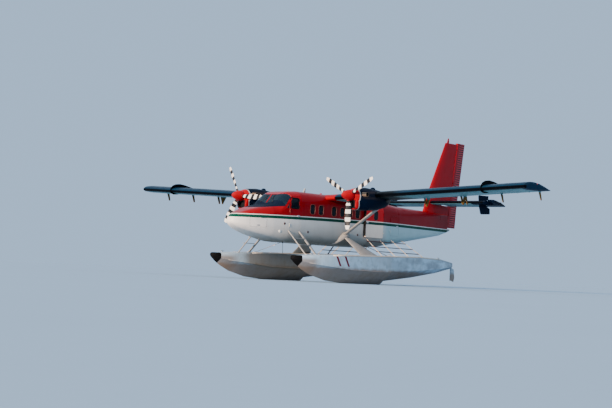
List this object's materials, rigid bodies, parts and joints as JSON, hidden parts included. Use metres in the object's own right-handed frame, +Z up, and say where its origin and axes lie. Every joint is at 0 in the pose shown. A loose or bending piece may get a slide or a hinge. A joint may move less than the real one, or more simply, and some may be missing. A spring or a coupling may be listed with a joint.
{
  "type": "twin-engine high-wing utility floatplane",
  "caption": "High-wing turboprop utility aircraft on floats, with turning propellers, moving control surfaces, opening doors and steerable water rudders.",
  "frame": {"origin": "on the floor under the keels, at the middle of the aircraft's length and span", "axes": "+X forward to the nose, +Y to port, +Z up"},
  "size_m": [15.09, 19.81, 6.65],
  "materials": {
    "paint_red": "gloss paint",
    "paint_white": "gloss paint",
    "paint_navy": "gloss paint",
    "propeller_paint": "gloss paint",
    "strut_paint": "semi-gloss paint",
    "rack_paint": "satin paint",
    "float_aluminium": "painted and bare sheet",
    "bumper_rubber": "matt",
    "engine_steel": "heat tinted",
    "seat_fabric": "woven",
    "cockpit_plastic": "matt",
    "window_glass": "clear"
  },
  "bodies": {
    "airframe": {"nose_section": "paint_white", "cockpit_shell": "paint_red", "windscreen_left": "window_glass", "windscreen_right": "window_glass", "cabin_roof": "paint_red", "cabin_side_left": "paint_red", "cabin_side_right": "paint_red", "cabin_floor": "paint_white", "tail_cone": "paint_red", "instrument_panel": "cockpit_plastic", "control_column": "cockpit_plastic", "crew_seat_left": "seat_fabric", "crew_seat_right": "seat_fabric", "cabin_seats_left": "seat_fabric", "cabin_seats_right": "seat_fabric", "wing_left": "paint_navy", "wing_right": "paint_navy", "wing_centre_fairing": "paint_red", "nacelle_left": "paint_navy", "nacelle_right": "paint_navy", "engine_cowling_left": "paint_red", "engine_cowling_right": "paint_red", "engine_left": "engine_steel", "engine_right": "engine_steel", "fin": "paint_red", "tailplane": "paint_navy", "float_left": "float_aluminium", "float_right": "float_aluminium", "float_bumper_left": "bumper_rubber", "float_bumper_right": "bumper_rubber", "float_struts_front_left": "strut_paint", "float_struts_front_right": "strut_paint", "float_strut_rear_left": "rack_paint", "float_strut_rear_right": "rack_paint", "float_main_leg_left": "strut_paint", "float_main_leg_right": "strut_paint", "wing_strut_left": "strut_paint", "wing_strut_right": "strut_paint", "boarding_rack_left": "rack_paint", "boarding_rack_right": "rack_paint"},
    "left_propeller": {"propeller_left": "propeller_paint"},
    "right_propeller": {"propeller_right": "propeller_paint"},
    "left_flap": {"flap_left": "paint_navy"},
    "right_flap": {"flap_right": "paint_navy"},
    "left_aileron": {"aileron_left": "paint_navy"},
    "right_aileron": {"aileron_right": "paint_navy"},
    "elevators": {"elevator_left": "paint_navy", "elevator_right": "paint_navy"},
    "rudder": {"rudder": "paint_red"},
    "left_crew_door": {"crew_door_left": "paint_red"},
    "right_crew_door": {"crew_door_right": "paint_red"},
    "left_cabin_door": {"cabin_door_left": "paint_red"},
    "right_cabin_door": {"cabin_door_right": "paint_red"},
    "nose_door": {"nose_baggage_door": "paint_white"},
    "rear_baggage_door": {"rear_baggage_door": "paint_red"},
    "left_water_rudder": {"water_rudder_left": "float_aluminium"},
    "right_water_rudder": {"water_rudder_right": "float_aluminium"}
  },
  "joints": [
    {"name": "left_propeller_turn", "type": "hinge", "parent": "airframe", "child": "left_propeller", "pos_m": [4.045, 2.87, 3.33], "axis": [1, 0, 0], "continuous": true},
    {"name": "right_propeller_turn", "type": "hinge", "parent": "airframe", "child": "right_propeller", "pos_m": [4.045, -2.87, 3.33], "axis": [1, 0, 0], "continuous": true},
    {"name": "left_flap_lower", "type": "hinge", "parent": "airframe", "child": "left_flap", "pos_m": [1.485, 4, 3.07176], "axis": [0, -0.9989, -0.0469], "range_deg": [0, 37.5]},
    {"name": "right_flap_lower", "type": "hinge", "parent": "airframe", "child": "right_flap", "pos_m": [1.485, -4, 3.07176], "axis": [0, -0.9989, 0.0469], "range_deg": [0, 37.5]},
    {"name": "left_aileron_turn", "type": "hinge", "parent": "airframe", "child": "left_aileron", "pos_m": [1.435, 8, 3.63946], "axis": [0, 0.9989, 0.0469], "range_deg": [-20, 20]},
    {"name": "right_aileron_turn", "type": "hinge", "parent": "airframe", "child": "right_aileron", "pos_m": [1.435, -8, 3.63946], "axis": [0, 0.9989, -0.0469], "range_deg": [-20, 20]},
    {"name": "elevator_turn", "type": "hinge", "parent": "airframe", "child": "elevators", "pos_m": [-5.855, 0, 3.695], "axis": [0, 1, 0], "range_deg": [-2, 37]},
    {"name": "rudder_turn", "type": "hinge", "parent": "airframe", "child": "rudder", "pos_m": [-6.65, 0, 4.555], "axis": [-0.1581, 0, 0.9874], "range_deg": [-16, 16]},
    {"name": "left_crew_door_open", "type": "hinge", "parent": "airframe", "child": "left_crew_door", "pos_m": [5.052, 0.854, 2.6], "axis": [0, 0, -1], "range_deg": [0, 80]},
    {"name": "right_crew_door_open", "type": "hinge", "parent": "airframe", "child": "right_crew_door", "pos_m": [5.052, -0.854, 2.6], "axis": [0, 0, 1], "range_deg": [0, 80]},
    {"name": "left_cabin_door_open", "type": "hinge", "parent": "airframe", "child": "left_cabin_door", "pos_m": [-0.712, 0.873, 2.55], "axis": [0, 0, 1], "range_deg": [-5, 85]},
    {"name": "right_cabin_door_open", "type": "hinge", "parent": "airframe", "child": "right_cabin_door", "pos_m": [0.242, -0.879, 2.55], "axis": [0, 0, 1], "range_deg": [0, 95]},
    {"name": "nose_door_lift", "type": "hinge", "parent": "airframe", "child": "nose_door", "pos_m": [6.545, 0.6285, 2.327], "axis": [0.969, -0.2471, 0], "range_deg": [0, 80]},
    {"name": "rear_baggage_door_open", "type": "hinge", "parent": "airframe", "child": "rear_baggage_door", "pos_m": [-1.218, 0.838, 2.44], "axis": [0, 0, -1], "range_deg": [0, 90]},
    {"name": "left_water_rudder_steer", "type": "hinge", "parent": "airframe", "child": "left_water_rudder", "pos_m": [-3.865, 2.1, 0.9], "axis": [0, 0, 1], "range_deg": [-30, 30]},
    {"name": "right_water_rudder_steer", "type": "hinge", "parent": "airframe", "child": "right_water_rudder", "pos_m": [-3.865, -2.1, 0.9], "axis": [0, 0, 1], "range_deg": [-30, 30]}
  ],
  "couplings": [
    {"joint": "right_flap_lower", "follows": "left_flap_lower", "ratio": 1},
    {"joint": "right_aileron_turn", "follows": "left_aileron_turn", "ratio": -1},
    {"joint": "right_water_rudder_steer", "follows": "left_water_rudder_steer", "ratio": 1}
  ]
}
